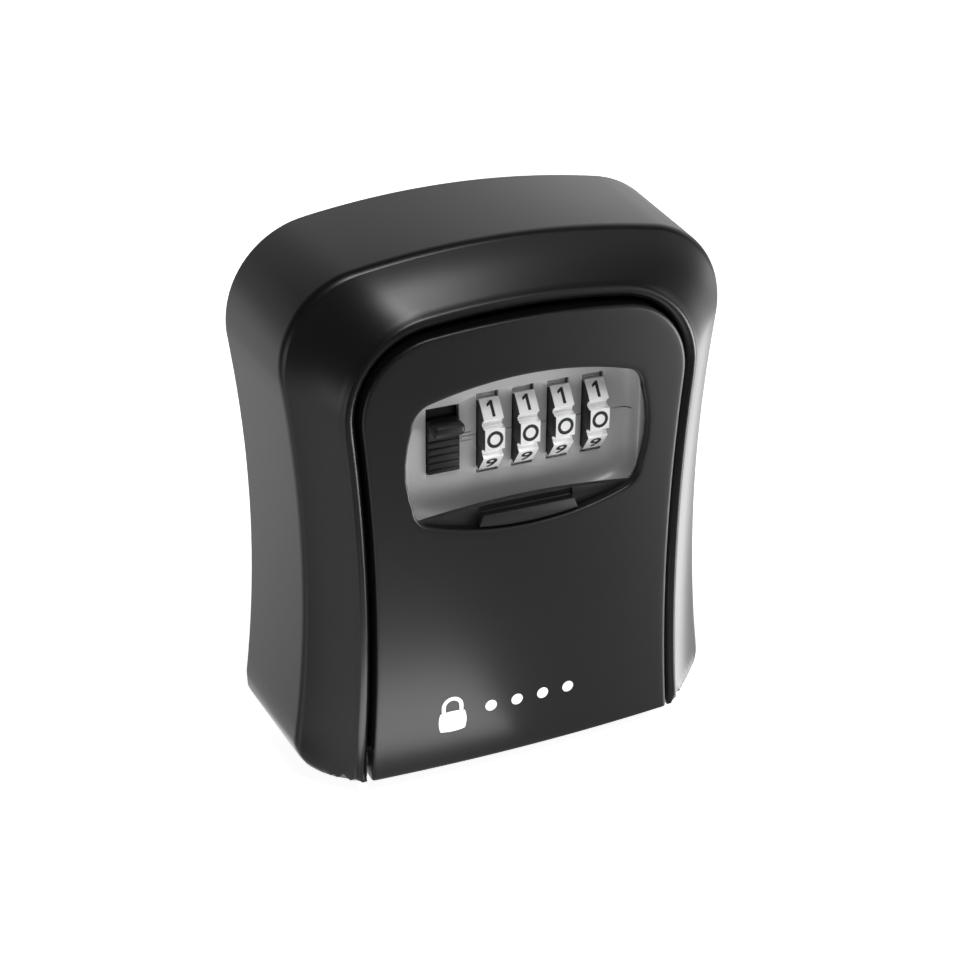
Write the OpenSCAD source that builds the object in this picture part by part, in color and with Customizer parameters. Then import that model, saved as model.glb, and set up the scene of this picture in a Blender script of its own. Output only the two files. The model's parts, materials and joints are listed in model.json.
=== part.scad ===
// Wall-mounted key lock box with four code wheels, a sliding weather shutter and a bottom-hinged door.
// X runs to the right, -Y points away from the wall and +Z is up. The origin lies on the wall face,
// in the middle of the four wall-screw holes.

/* [Case] */
// Height of the case
case_h = 115; // [110:0.5:120]
// Half width of the case at its waist
waist_x = 47.1; // [45:0.1:50]
// Depth of the case from the wall to the crease of the side walls
crease_depth = 28.4; // [27:0.1:29]
// Depth of the case from the wall to the front of the rim
rim_depth = 37; // [36.5:0.1:37.5]
// Thickness of the back wall and the floor
wall_t = 3; // [2:0.1:3]

/* [Wall screws] */
// Distance between the wall-screw holes across
holes_x = 44; // [36:1:50]
// Distance between the wall-screw holes up and down
holes_z = 56; // [44:1:60]
// Radius of a wall-screw hole
hole_r = 2.5; // [2:0.1:3]
// Height of the middle of the holes above the case's foot
origin_h = 55; // [50:1:60]

/* [Door] */
// Height of the door
door_h = 100; // [99.5:0.1:100.5]
// Gap between the door and the rim
door_gap = 1.9; // [1.5:0.1:2]
// Depth from the wall to the middle of the door's front
door_depth = 39.5; // [39.3:0.1:40]
// Radius of the door's rounded front
door_front_r = 413; // [380:1:450]
// Thickness of the door's side walls
door_wall = 1.8; // [1.5:0.1:2]

/* [Code wheels] */
// Distance between two code wheels
wheel_pitch = 7.8; // [7.8:0.1:7.8]
// Middle of the first code wheel
wheel_x0 = -6.1; // [-6.3:0.1:-6]
// Width of a code wheel
wheel_w = 4.4; // [4.2:0.1:4.4]
// Distance from the axle to a digit's flat face
tile_r = 10.2; // [9.9:0.1:10.2]

/* [Latch] */
// Travel of the latch and of the black slider
latch_travel = 2.4; // [2.2:0.1:2.4]

/* [Hidden] */
$fn = 48;
eps = 0.01;

// An outline is [height, top radius, corner radius, waist half width, waist height,
// side radius, foot corner radius, height of the foot].
back_o = [case_h, 187.5, 20.8, waist_x, 50.2, 282, 8, 0];
draft = 2.1;
crease_o = [case_h - draft, 185.4, 18.7, waist_x - draft, 50.2, 284.1, 7, 0];
door_o = [door_h, 164, 16.2, 33.1, 40.7, 424, 1, 0.2];
foot_r = 1;
rim_t = 1.6;
bevel_hollow = 0.6;
rim_in = concat(grow(door_o, door_gap), [foot_r, -5]);
rim_out = concat(grow(door_o, door_gap + rim_t), [foot_r, 0]);
cavity_o = concat(grow(back_o, -5), [4, wall_t]);
neck_o = concat(grow(door_o, 5.4), [4, wall_t]);
neck_back = -26;
neck_front = -31;
floor_front = -27.5;

// Hinge at the foot of the door
hinge_y = -32.5;
hinge_z = 4.5;
pin_r = 1.5;
pin_in = 26;
pin_out = 39.7;
bore_end = 39.9;
knuckle_r = 3.6;
knuckle_in = 24;
knuckle_out = 34.4;
washer_in = 35.1;
washer_out = 36.3;
floor_cut_x = 36.5;

// Window in the door: the top and foot are arcs, and the corners are round
window_w = 50.2;
window_top = 87.9;
window_foot = 54.8;
window_top_r = 76;
window_foot_r = 70;
window_corner = 5;

// Layers from the front to the back
skin_y = -37.2;
flange_y = -30.5;
shutter_front = -37;
shutter_back = -35.75;
plate_front = -31.2;
plate_back = -29.8;
tray_front = -35.5;
latch_front = -14.2;
latch_back = -13.2;
cover_front = -12.4;
cover_back = -11.4;

// Shutter, drawn all the way down
shutter_w = 54;
shutter_low = 24;
shutter_top = 60.2;
shutter_top_r = 180;
ledge_w = 22;
ledge_front = -38.6;

// Code wheels and tumblers
axle_y = -25;
axle_z = 73;
axle_r = 2;
run = 0.05;
rib_r = 9.5;
tile_h = 4.6;
digits = 10;
slot_w = 4.8;
slot_h = 17.6;
sleeve_r = 4;
gap_w = wheel_pitch - wheel_w;
web_t = 0.5;
ring_t = 1.4;
ring_in = 3.7;
ring_out = 4.5;
gate_w = 2.2;
hub_r = 2.65;
tooth_low = 2.85;
tooth_h = 0.65;
tooth_w = 1.2;
stem_t = 0.7;
stem_end = 0.3;
divider_x = -9.2;
divider_t = 1.4;
house_x = 23;
house_t = 1.5;
house_low = 59.5;
house_top = 86;
post_x = 29.2;
post_r = 2.2;
post_z = [61, 86];
screw_r = 1.2;
guide_x = 28.9;
guide_z = [27, 48];
guide_r = 1.6;
cover_x = 31;

// Black slider and latch
slider_x = -15.8;
slider_slot_w = 7.2;
slider_slot = [65.9, 80.3];
slider_w = 6.8;
lip = [75.2, 77.8];
latch_top = 97;
tongue_w = 18;
keeper_y = [-17.5, -15];
keeper_low = 98.3;

function grow(o, g) = [o[0] + g, o[1] + g, o[2] + g, o[3] + g, o[4], o[5] - g];
function mix(a, b, t) = a * (1 - t) + b * t;
function heading(v) = atan2(v[1], v[0]);
function arc(c, r, a0, a1, n) = [for (i = [0:n]) c + r * [cos(mix(a0, a1, i / n)), sin(mix(a0, a1, i / n))]];

// Where a circle of radius ra round a meets one of radius rb round b, left of the line from a to b
function meet(a, ra, b, rb) =
    let (d = norm(b - a), u = (b - a) / d, s = (ra * ra - rb * rb + d * d) / (2 * d))
    a + s * u + sqrt(ra * ra - s * s) * [-u[1], u[0]];

// Right half of an outline, from the middle of the top to the foot: arcs that run into each other
function half_outline(o) =
    let (top_c = [0, o[0] - o[1]],
         side_c = [o[3] + o[5], o[4]],
         corner_c = meet(top_c, o[1] - o[2], side_c, o[5] + o[2]),
         foot_z = o[7] + o[6],
         foot_c = [side_c[0] - sqrt(pow(o[5] + o[6], 2) - pow(foot_z - o[4], 2)), foot_z],
         a_top = heading(corner_c - top_c),
         a_side = heading(side_c - corner_c),
         a_foot = heading(side_c - foot_c))
    concat(
        arc(top_c, o[1], 90, a_top, 8),
        arc(corner_c, o[2], a_top - 4, a_side + 4, 9),
        arc(side_c, o[5], a_side + 180, a_foot + 180, 12),
        arc(foot_c, o[6], a_foot - 8, -90, 5));

function outline(o) =
    let (h = half_outline(o), n = len(h))
    concat(h, [for (i = [n - 1:-1:1]) [-h[i][0], h[i][1]]]);

// Window outline, grown by g
function window(g) =
    let (x = window_w / 2 - window_corner,
         r = window_corner + g,
         top_c = [0, window_top - window_top_r],
         foot_c = [0, window_foot + window_foot_r],
         top_k = [x, top_c[1] + sqrt(pow(window_top_r - window_corner, 2) - x * x)],
         foot_k = [x, foot_c[1] - sqrt(pow(window_foot_r - window_corner, 2) - x * x)],
         a_top = heading(top_k - top_c),
         a_foot = heading(foot_k - foot_c),
         right = concat(
             arc(top_c, window_top_r + g, 90, a_top, 8),
             arc(top_k, r, a_top - 8, 0, 7),
             arc(foot_k, r, 0, a_foot + 8, 7),
             arc(foot_c, window_foot_r + g, a_foot, -90, 8)),
         n = len(right))
    concat(right, [for (i = [n - 2:-1:1]) [-right[i][0], right[i][1]]]);

module lift() {
    translate([0, 0, -origin_h]) children();
}

// A flat shape drawn in X and Z, from y0 at the front to y1 at the back
module slab(y0, y1) {
    translate([0, y1, 0]) rotate([90, 0, 0]) linear_extrude(y1 - y0) children();
}

// A flat shape drawn in Y and Z, from x0 to x1
module bar(x0, x1) {
    translate([x0, 0, 0]) rotate([90, 0, 90]) linear_extrude(x1 - x0) children();
}

module rod_x(r, x0, x1) {
    translate([x0, 0, 0]) rotate([0, 90, 0]) cylinder(r = r, h = x1 - x0);
}

module rod_y(r, y0, y1) {
    translate([0, y1, 0]) rotate([90, 0, 0]) cylinder(r = r, h = y1 - y0);
}

module box(a, b) {
    translate(a) cube(b - a);
}

module at_axle() {
    translate([0, axle_y, axle_z]) children();
}

module at_hinge() {
    translate([0, hinge_y, hinge_z]) children();
}

module both_sides() {
    children();
    mirror([1, 0, 0]) children();
}

module at_posts() {
    for (x = [-post_x, post_x], z = post_z) translate([x, 0, z]) children();
}

module at_guides() {
    for (x = [-guide_x, guide_x], z = guide_z) translate([x, 0, z]) children();
}

module outline_slab(o, y0, y1) {
    slab(y0, y1) polygon(outline(o));
}

// Skin through a row of outlines, each [depth, outline], that have the same number of points
module loft(rows) {
    rings = [for (row = rows) [for (p = outline(row[1])) [p[0], row[0], p[1]]]];
    n = len(rings[0]);
    last = len(rings) - 1;
    polyhedron(
        points = [for (ring = rings) each ring],
        faces = concat(
            [[for (i = [n - 1:-1:0]) i]],
            [[for (i = [0:n - 1]) last * n + i]],
            [for (k = [0:last - 1], i = [0:n - 1])
                let (j = (i + 1) % n) [k * n + i, k * n + j, (k + 1) * n + j]],
            [for (k = [0:last - 1], i = [0:n - 1])
                let (j = (i + 1) % n) [k * n + i, (k + 1) * n + j, (k + 1) * n + i]]));
}

// ---- Case -------------------------------------------------------------------------------------

// Row of the hollow bevel between the crease and the rim, t from 0 to 1
function bevel_row(t) =
    [bevel_hollow * sin(180 * t) - mix(crease_depth, rim_depth, t), mix(crease_o, rim_out, t)];

module case_outside() {
    loft(concat(
        [[0, back_o], [-(crease_depth - 1), mix(back_o, crease_o, 1 - 1 / crease_depth)]],
        [for (i = [0:5]) bevel_row(i / 5)]));
}

module body_shell() {
    color("#2b2b2d") lift() difference() {
        union() {
            difference() {
                case_outside();
                outline_slab(cavity_o, neck_back, -wall_t);
                outline_slab(neck_o, neck_front, neck_back + eps);
                outline_slab(rim_in, -rim_depth - 1, neck_front + eps);
                box([-floor_cut_x, neck_front, -1], [floor_cut_x, floor_front, wall_t + 1]);
            }
            box([-10, keeper_y[0], keeper_low], [10, keeper_y[1], case_h - 3.5]);
            both_sides() box([36.6, -33.9, 1.8], [40.3, -28, 8]);
        }
        both_sides() at_hinge() rod_x(pin_r + 0.02, 36, bore_end);
        for (x = [-holes_x / 2, holes_x / 2], z = [-holes_z / 2, holes_z / 2])
            translate([x, 0, origin_h + z]) rod_y(hole_r, -wall_t - 1, 1);
    }
}

module hinge_pin() {
    color("silver") lift() at_hinge() rod_x(pin_r, pin_in, pin_out);
}

module hinge_pin_left() {
    mirror([1, 0, 0]) hinge_pin();
}

module hinge_pin_right() {
    hinge_pin();
}

module hinge_washers() {
    color("#202021") lift() both_sides() at_hinge() difference() {
        rod_x(knuckle_r - 0.2, washer_in, washer_out);
        rod_x(pin_r + run, washer_in - 1, washer_out + 1);
    }
}

// ---- Door -------------------------------------------------------------------------------------

module knuckle() {
    difference() {
        union() {
            at_hinge() rod_x(knuckle_r, knuckle_in, knuckle_out);
            box([knuckle_in, skin_y - 0.5, hinge_z - knuckle_r],
                [knuckle_out, hinge_y, hinge_z + knuckle_r]);
        }
        at_hinge() rod_x(pin_r + run, pin_in - 0.5, knuckle_out + 1);
    }
}

module door_shell() {
    inner_o = concat(grow(door_o, -door_wall), [foot_r, door_o[7] + door_wall]);
    rail_in = shutter_w / 2 + 0.25;
    color("#262627") lift() difference() {
        union() {
            difference() {
                intersection() {
                    outline_slab(door_o, -door_depth - 1, flange_y);
                    translate([0, door_front_r - door_depth, -10])
                        cylinder(r = door_front_r, h = door_h + 20, $fn = 720);
                }
                outline_slab(inner_o, skin_y, flange_y + 1);
            }
            both_sides() knuckle();
            both_sides() box([rail_in, skin_y - eps, 21.5], [rail_in + 1, tray_front, 56]);
            at_posts() rod_y(post_r, skin_y - eps, tray_front + 0.9);
            at_guides() rod_y(guide_r, skin_y - eps, tray_front);
        }
        slab(-door_depth - 1, skin_y + 1) polygon(window(0));
        at_posts() rod_y(screw_r + run, skin_y + 0.1, tray_front + 2);
        at_guides() rod_y(1 + run, skin_y + 0.1, tray_front + 2);
        both_sides() at_hinge() rod_x(pin_r + run, knuckle_in + 6, knuckle_out + 2);
    }
}

module shutter_outline() {
    intersection() {
        translate([-shutter_w / 2, shutter_low]) square([shutter_w, 40]);
        translate([0, shutter_top - shutter_top_r]) circle(r = shutter_top_r, $fn = 360);
    }
}

module shutter() {
    color("#1c1c1e") lift() difference() {
        union() {
            slab(shutter_front, shutter_back) shutter_outline();
            intersection() {
                slab(ledge_front, shutter_front + eps)
                    translate([-ledge_w / 2, window_foot + 0.3]) square([ledge_w, 2.3]);
                slab(ledge_front - 1, shutter_front + 1)
                    translate([0, window_foot + 0.3 + window_foot_r]) circle(r = window_foot_r, $fn = 180);
            }
        }
        slab(shutter_front - 1, shutter_front + 0.6)
            translate([-10.5, 57.4]) square([21, 2]);
    }
}

module shutter_cover() {
    color("#3a3a3c") lift() difference() {
        slab(tray_front + 0.05, tray_front + 0.85)
            translate([-cover_x, 22]) square([2 * cover_x, 28.5]);
        at_guides() rod_y(1.1, tray_front - 1, tray_front + 2);
    }
}

module shutter_cover_screws() {
    color("silver") lift() at_guides() difference() {
        union() {
            rod_y(1, skin_y + 0.3, tray_front + 0.86);
            rod_y(1.7, tray_front + 0.86, tray_front + 1.8);
        }
        slot_cross(tray_front + 1.4, tray_front + 2);
    }
}

module slot_cross(y0, y1) {
    slab(y0, y1) {
        square([0.5, 2], center = true);
        square([2, 0.5], center = true);
    }
}

// ---- Dial plate and housing -------------------------------------------------------------------

module at_wheels() {
    for (k = [0:3]) translate([wheel_x0 + k * wheel_pitch, 0, 0]) children();
}

module dial_plate() {
    color("#8a8b8d") lift() difference() {
        union() {
            slab(tray_front, plate_back) polygon(window(2.2));
            slab(tray_front, tray_front + 0.9) polygon(window(3.6));
        }
        slab(tray_front - 1, plate_front) polygon(window(0.9));
        at_posts() rod_y(post_r + 0.1, tray_front - 1, tray_front + 1.5);
        at_wheels() {
            slab(plate_front - 1, plate_back + 1)
                translate([-slot_w / 2, axle_z - slot_h / 2]) square([slot_w, slot_h]);
            slab(plate_front + 0.4, plate_back + 1)
                translate([-slot_w / 2, axle_z - slot_h / 2 - 1]) square([slot_w, slot_h + 2]);
        }
        slab(plate_front - 1, plate_back + 1)
            translate([slider_x - slider_slot_w / 2, slider_slot[0]])
                square([slider_slot_w, slider_slot[1] - slider_slot[0]]);
        box([-11.6, plate_front - 1, axle_z - 0.15], [25.5, plate_front + 0.2, axle_z + 0.15]);
    }
}

module housing_box() {
    difference() {
        box([-house_x - house_t, plate_back + eps, house_low],
            [house_x + house_t, cover_front - 0.05, house_top + house_t]);
        box([-house_x, plate_back - 1, house_low + house_t], [house_x, cover_front + 1, house_top]);
        box([-house_x, latch_front - 0.3, house_low + 4], [house_x, cover_front + 1, house_top + 5]);
    }
}

module mechanism_housing() {
    color("#303032") lift() difference() {
        union() {
            housing_box();
            box([divider_x - divider_t, plate_back + eps, house_low + 1],
                [divider_x, latch_front - 0.3, house_top + 1]);
            at_posts() rod_y(post_r, tray_front + 1, cover_front - 0.05);
            for (z = post_z) both_sides()
                box([house_x + 1, plate_back + eps, z - 0.8], [post_x - 1, cover_front - 0.05, z + 0.8]);
        }
        at_axle() rod_x(axle_r + run, divider_x - divider_t - 1, house_x + house_t + 1);
        at_posts() rod_y(screw_r + 0.15, tray_front, cover_front + 1);
        for (x = [0, 14]) translate([x, -20, house_low - 1]) cylinder(r = 0.9, h = 4);
    }
}

module cover_plate() {
    color("#3a3a3c") lift() difference() {
        slab(cover_front, cover_back) translate([-cover_x, 57.6]) square([2 * cover_x, 32]);
        at_posts() rod_y(screw_r + 0.15, cover_front - 1, cover_back + 1);
        slab(cover_front - 1, cover_back + 1) translate([-4.4, 62.4]) square([8.8, 1.7]);
    }
}

module cover_screws() {
    color("silver") lift() at_posts() difference() {
        union() {
            rod_y(screw_r, skin_y + 0.4, cover_back + eps);
            rod_y(2.4, cover_back, cover_back + 1.4);
        }
        slot_cross(cover_back + 0.7, cover_back + 2);
    }
}

// ---- Code wheels ------------------------------------------------------------------------------

module dial_axle() {
    color("silver") lift() at_axle() difference() {
        rod_x(axle_r, divider_x - divider_t - 0.6, house_x + house_t + 1.6);
        difference() {
            rod_x(axle_r + 1, house_x + house_t + 0.3, house_x + house_t + 0.9);
            rod_x(axle_r - 0.5, house_x + house_t, house_x + house_t + 1);
        }
    }
}

module axle_clip() {
    color("dimgray") lift() at_axle() difference() {
        rod_x(3.4, house_x + house_t + 0.35, house_x + house_t + 0.85);
        rod_x(axle_r - 0.45, house_x + house_t, house_x + house_t + 1);
        box([house_x, -5, -0.9], [house_x + house_t + 2, 0, 0.9]);
    }
}

module wave_washer() {
    color("silver") lift() at_axle() difference() {
        rod_x(3.4, divider_x + 0.1, divider_x + 0.6);
        rod_x(axle_r + run, divider_x - 1, divider_x + 1);
    }
}

// A code wheel: ten flat digit faces with a lower grip rib between each two
module dial(k) {
    x = wheel_x0 + k * wheel_pitch;
    color("#c9cacc") lift() at_axle() difference() {
        bar(x - wheel_w / 2, x + wheel_w / 2) difference() {
            union() {
                circle(r = rib_r, $fn = 80);
                for (i = [0:digits - 1]) rotate(i * 360 / digits)
                    translate([-tile_r, -tile_h / 2]) square([tile_r, tile_h]);
            }
            for (i = [0:digits - 1]) rotate((i + 0.5) * 360 / digits)
                translate([-rib_r - 0.3, -0.35]) square([0.8, 0.7]);
        }
        rod_x(sleeve_r + run, x - wheel_w, x + wheel_w);
        for (a = [0, 180]) rotate([a, 0, 0])
            box([x - wheel_w, -0.55, sleeve_r - 0.5], [x + wheel_w, 0.55, sleeve_r + 0.95]);
    }
}

// A tumbler: a keyed sleeve inside the wheel, and a cup beside it with a gate in its wall
module tumbler(k) {
    x = wheel_x0 + k * wheel_pitch;
    face = x + wheel_w / 2;
    color("goldenrod") lift() at_axle() difference() {
        union() {
            rod_x(sleeve_r, x - wheel_w / 2, face);
            rod_x(hub_r, face, face + gap_w - 0.1);
            rod_x(ring_out, face + eps, face + web_t);
            difference() {
                rod_x(ring_out, face + web_t - eps, face + web_t + ring_t);
                rod_x(ring_in, face + web_t, face + web_t + ring_t + 1);
            }
            for (a = [0, 180]) rotate([a, 0, 0])
                box([x - wheel_w / 2, -0.5, sleeve_r - 0.4], [face, 0.5, sleeve_r + 0.9]);
        }
        rod_x(axle_r + run, x - wheel_w, x + wheel_w + gap_w);
        box([face + web_t, -gate_w / 2, ring_in - 0.3], [face + gap_w, gate_w / 2, ring_out + 1]);
    }
}

module dial_1() { dial(0); }
module dial_2() { dial(1); }
module dial_3() { dial(2); }
module dial_4() { dial(3); }
module tumbler_1() { tumbler(0); }
module tumbler_2() { tumbler(1); }
module tumbler_3() { tumbler(2); }
module tumbler_4() { tumbler(3); }

// Leaf spring on the housing's floor, with one finger under each wheel
module detent_spring() {
    base_z = house_low + house_t + 0.05;
    color("silver") lift() difference() {
        union() {
            box([-8.5, -22, base_z], [22, -17.6, base_z + 0.35]);
            at_wheels() bar(-1.4, 1.4) polygon([[-22, base_z], [-18, base_z], [-18, base_z + 0.35],
                [-22, base_z + 0.35], [-25, base_z + 1.3], [-26.2, base_z + 0.9], [-26.2, base_z + 0.55],
                [-25, base_z + 0.95]]);
        }
        for (x = [0, 14]) translate([x, -20, base_z - 1]) cylinder(r = 0.9, h = 3);
    }
}

module detent_screws() {
    color("dimgray") lift() for (x = [0, 14]) translate([x, -20, 0]) {
        translate([0, 0, house_low + 0.2]) cylinder(r = 0.85, h = house_t + 0.25);
        translate([0, 0, house_low + house_t + 0.42]) cylinder(r = 1.5, h = 0.6);
    }
}

// ---- Latch ------------------------------------------------------------------------------------

module latch_plate() {
    color("#b0b2b5") lift() difference() {
        union() {
            slab(latch_front, latch_back) {
                translate([-22.6, 66.5]) square([45.2, 16.5]);
                translate([-tongue_w / 2, 82]) square([tongue_w, latch_top - 82]);
            }
            box([-19, plate_back + 1.4, 69], [-12.6, latch_back, 70.2]);
            box([-19, plate_back + 1.4, 69], [-12.6, plate_back + 2.4, 76]);
            at_wheels() translate([wheel_w / 2, axle_y, axle_z + tooth_low]) {
                box([gap_w - stem_end - stem_t, -0.8, 0],
                    [gap_w - stem_end, latch_front - axle_y + eps, tooth_h]);
                box([web_t + 0.3, -tooth_w / 2, 0], [gap_w - stem_end - stem_t + eps, tooth_w / 2, tooth_h]);
            }
        }
        translate([slider_x, 0, 73]) rod_y(1.05, plate_back, plate_back + 4);
        box([-6.2, latch_front - 1, 66], [-4.6, latch_back + 1, 72]);
    }
}

module latch_rivet() {
    color("silver") lift() translate([slider_x, 0, 73]) {
        rod_y(1, plate_back + 0.5, plate_back + 2.42);
        rod_y(1.8, plate_back + 2.42, plate_back + 3.1);
    }
}

module open_slider() {
    half = slider_w / 2;
    base_back = plate_back + 1.38;
    color("#141415") lift() difference() {
        union() {
            box([slider_x - 4.4, plate_back + 0.12, 63.2], [slider_x + 4.4, base_back, 83.4]);
            box([slider_x - half, plate_front - 0.9, 66.2], [slider_x + half, plate_back + 0.2, lip[1]]);
            box([slider_x - half, tray_front + 0.2, lip[0]], [slider_x + half, plate_front, lip[1]]);
        }
        for (i = [0:4]) translate([0, 0, 67 + i * 1.55])
            box([slider_x - half - 1, plate_front - 2, 0], [slider_x + half + 1, plate_front - 0.35, 0.55]);
        translate([slider_x, 0, 73]) rod_y(1.05, plate_back + 0.4, base_back + 1);
    }
}

// Coil of round wire standing on the housing's floor under the latch's arm
module latch_spring() {
    coil_r = 2.2;
    wire_r = 0.35;
    low = house_low + house_t + wire_r + 0.05;
    high = 69 - wire_r - 0.05;
    turns = 6;
    per_turn = 12;
    sides = 8;
    rings = [for (i = [0:turns * per_turn])
        let (a = 360 * i / per_turn, z = mix(low, high, i / (turns * per_turn)))
        [for (s = [0:sides - 1])
            let (b = 360 * s / sides, r = coil_r + wire_r * cos(b))
            [r * cos(a), r * sin(a), z + wire_r * sin(b)]]];
    last = len(rings) - 1;
    color("silver") lift() translate([slider_x, -21, 0]) polyhedron(
        points = [for (ring = rings) each ring],
        faces = concat(
            [[for (s = [0:sides - 1]) s]],
            [[for (s = [sides - 1:-1:0]) last * sides + s]],
            [for (k = [0:last - 1], s = [0:sides - 1])
                let (t = (s + 1) % sides) [k * sides + s, (k + 1) * sides + t, k * sides + t]],
            [for (k = [0:last - 1], s = [0:sides - 1])
                let (t = (s + 1) % sides) [k * sides + s, (k + 1) * sides + s, (k + 1) * sides + t]]));
}

// Code-change lever that slides in a slot of the cover plate
module reset_lever() {
    color("#b0b2b5") lift() union() {
        box([-5.2, cover_front - 0.75, 61.4], [0.2, cover_front - 0.1, 65.1]);
        box([-4.2, cover_front - 0.2, 62.5], [-0.8, cover_back + 0.2, 64]);
        box([-5.2, cover_back + 0.1, 61.4], [0.2, cover_back + 0.9, 65.1]);
        box([-3.2, cover_back + 0.8, 61.4], [-1.8, cover_back + 2.6, 65.1]);
    }
}

body_shell();
hinge_pin_left();
hinge_pin_right();
hinge_washers();
door_shell();
shutter();
shutter_cover();
shutter_cover_screws();
dial_plate();
mechanism_housing();
cover_plate();
cover_screws();
dial_axle();
axle_clip();
wave_washer();
dial_1();
dial_2();
dial_3();
dial_4();
tumbler_1();
tumbler_2();
tumbler_3();
tumbler_4();
detent_spring();
detent_screws();
latch_plate();
latch_rivet();
open_slider();
latch_spring();
reset_lever();
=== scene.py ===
import json
import math

import bpy
import numpy as np
from mathutils import Matrix, Vector

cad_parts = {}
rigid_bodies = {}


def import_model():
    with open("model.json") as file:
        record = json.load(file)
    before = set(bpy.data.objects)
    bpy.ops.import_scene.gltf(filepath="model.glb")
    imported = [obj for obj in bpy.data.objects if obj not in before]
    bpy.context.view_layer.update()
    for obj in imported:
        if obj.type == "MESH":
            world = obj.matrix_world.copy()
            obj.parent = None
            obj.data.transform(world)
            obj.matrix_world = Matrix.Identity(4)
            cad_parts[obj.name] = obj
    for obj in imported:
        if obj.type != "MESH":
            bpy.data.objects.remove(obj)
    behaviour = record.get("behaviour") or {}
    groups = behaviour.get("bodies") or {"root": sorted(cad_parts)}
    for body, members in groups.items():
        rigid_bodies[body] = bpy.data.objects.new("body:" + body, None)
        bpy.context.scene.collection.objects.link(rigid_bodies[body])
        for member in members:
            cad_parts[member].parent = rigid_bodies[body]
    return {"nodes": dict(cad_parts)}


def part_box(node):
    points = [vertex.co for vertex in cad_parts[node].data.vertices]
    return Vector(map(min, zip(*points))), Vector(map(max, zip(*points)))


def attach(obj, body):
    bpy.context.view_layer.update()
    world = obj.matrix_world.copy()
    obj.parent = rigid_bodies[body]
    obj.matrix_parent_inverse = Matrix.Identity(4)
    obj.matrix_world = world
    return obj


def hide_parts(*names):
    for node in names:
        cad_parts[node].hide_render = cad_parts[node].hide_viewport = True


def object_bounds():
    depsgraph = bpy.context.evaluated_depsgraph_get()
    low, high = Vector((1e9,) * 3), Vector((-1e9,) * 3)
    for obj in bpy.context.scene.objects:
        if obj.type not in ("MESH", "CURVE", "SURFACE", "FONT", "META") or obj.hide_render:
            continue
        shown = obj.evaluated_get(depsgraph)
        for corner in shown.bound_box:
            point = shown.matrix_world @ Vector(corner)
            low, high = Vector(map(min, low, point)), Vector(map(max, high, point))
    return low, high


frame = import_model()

cad_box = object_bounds()
bpy.ops.object.select_all(action="DESELECT")


# ---- Camera, floor and studio ------------------------------------------------------------------
# The box stands on a pale floor in a white tent. The camera looks down on it from the left,
# with a long lens.

azimuth = math.radians(-24.2)
elevation = math.radians(27.1)
roll = math.radians(0.24)
distance = 0.3994
aim = Vector((-0.0022, -0.0192, 0.0007))

back = Vector((
    math.sin(azimuth) * math.cos(elevation),
    -math.cos(azimuth) * math.cos(elevation),
    math.sin(elevation)))
across = (-back).cross(Vector((0, 0, 1))).normalized()
upward = back.cross(across)
rolled_across = across * math.cos(roll) + upward * math.sin(roll)
rolled_upward = upward * math.cos(roll) - across * math.sin(roll)

camera_data = bpy.data.cameras.new("camera")
camera_data.lens = 71.25
camera_data.sensor_width = 36
camera_data.clip_start = 0.02
camera = bpy.data.objects.new("camera", camera_data)
bpy.context.collection.objects.link(camera)
camera.matrix_world = Matrix.Translation(aim + back * distance) @ Matrix((
    rolled_across, rolled_upward, back)).transposed().to_4x4()
bpy.context.scene.camera = camera
bpy.context.scene.view_settings.view_transform = "Standard"


def new_material(name):
    """A material with its Principled shader, and a short way to add nodes and links."""
    material = bpy.data.materials.new(name)
    material.use_nodes = True
    tree = material.node_tree
    shader = tree.nodes["Principled BSDF"]

    def add(kind, **inputs):
        node = tree.nodes.new("ShaderNode" + kind)
        for key, value in inputs.items():
            socket = node.inputs[key.replace("_", " ")]
            if isinstance(value, bpy.types.NodeSocket):
                tree.links.new(value, socket)
            else:
                socket.default_value = value
        return node

    return material, tree, shader, add


# The open door's skin hangs a little lower than the case's foot, so the floor is lower still.
door_drop = 0.004
floor_z = cad_box[0].z - door_drop
bpy.ops.mesh.primitive_grid_add(
    x_subdivisions=8, y_subdivisions=8, size=4, location=(0, 0, floor_z))
floor = bpy.context.object
floor.name = "floor"
floor_paint, tree, shader, add = new_material("pale_floor")
floor_grain = add("TexNoise", Scale=60.0, Detail=3.0)
floor_tone = add("MapRange", Value=floor_grain.outputs["Fac"], To_Min=0.86, To_Max=0.9)
tree.links.new(floor_tone.outputs["Result"], shader.inputs["Base Color"])
shader.inputs["Roughness"].default_value = 0.8
shader.inputs["Emission Color"].default_value = (1, 1, 1, 1)
shader.inputs["Emission Strength"].default_value = 0.9
floor.data.materials.append(floor_paint)
floor.visible_glossy = False
floor.visible_shadow = False

world = bpy.data.worlds.new("tent")
bpy.context.scene.world = world
world.use_nodes = True
tent = world.node_tree
tent_seen = tent.nodes.new("ShaderNodeBackground")
tent_path = tent.nodes.new("ShaderNodeLightPath")
tent_mix = tent.nodes.new("ShaderNodeMixShader")
tent.links.new(tent_path.outputs["Is Camera Ray"], tent_mix.inputs["Fac"])
tent.links.new(tent.nodes["Background"].outputs["Background"], tent_mix.inputs[1])
tent.links.new(tent_seen.outputs["Background"], tent_mix.inputs[2])
tent.links.new(tent_mix.outputs["Shader"], tent.nodes["World Output"].inputs["Surface"])
tent_seen.inputs["Color"].default_value = (1, 1, 1, 1)
tent.nodes["Background"].inputs["Color"].default_value = (1, 1, 1, 1)
tent_facing = tent.nodes.new("ShaderNodeTexCoord").outputs["Generated"]


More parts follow.
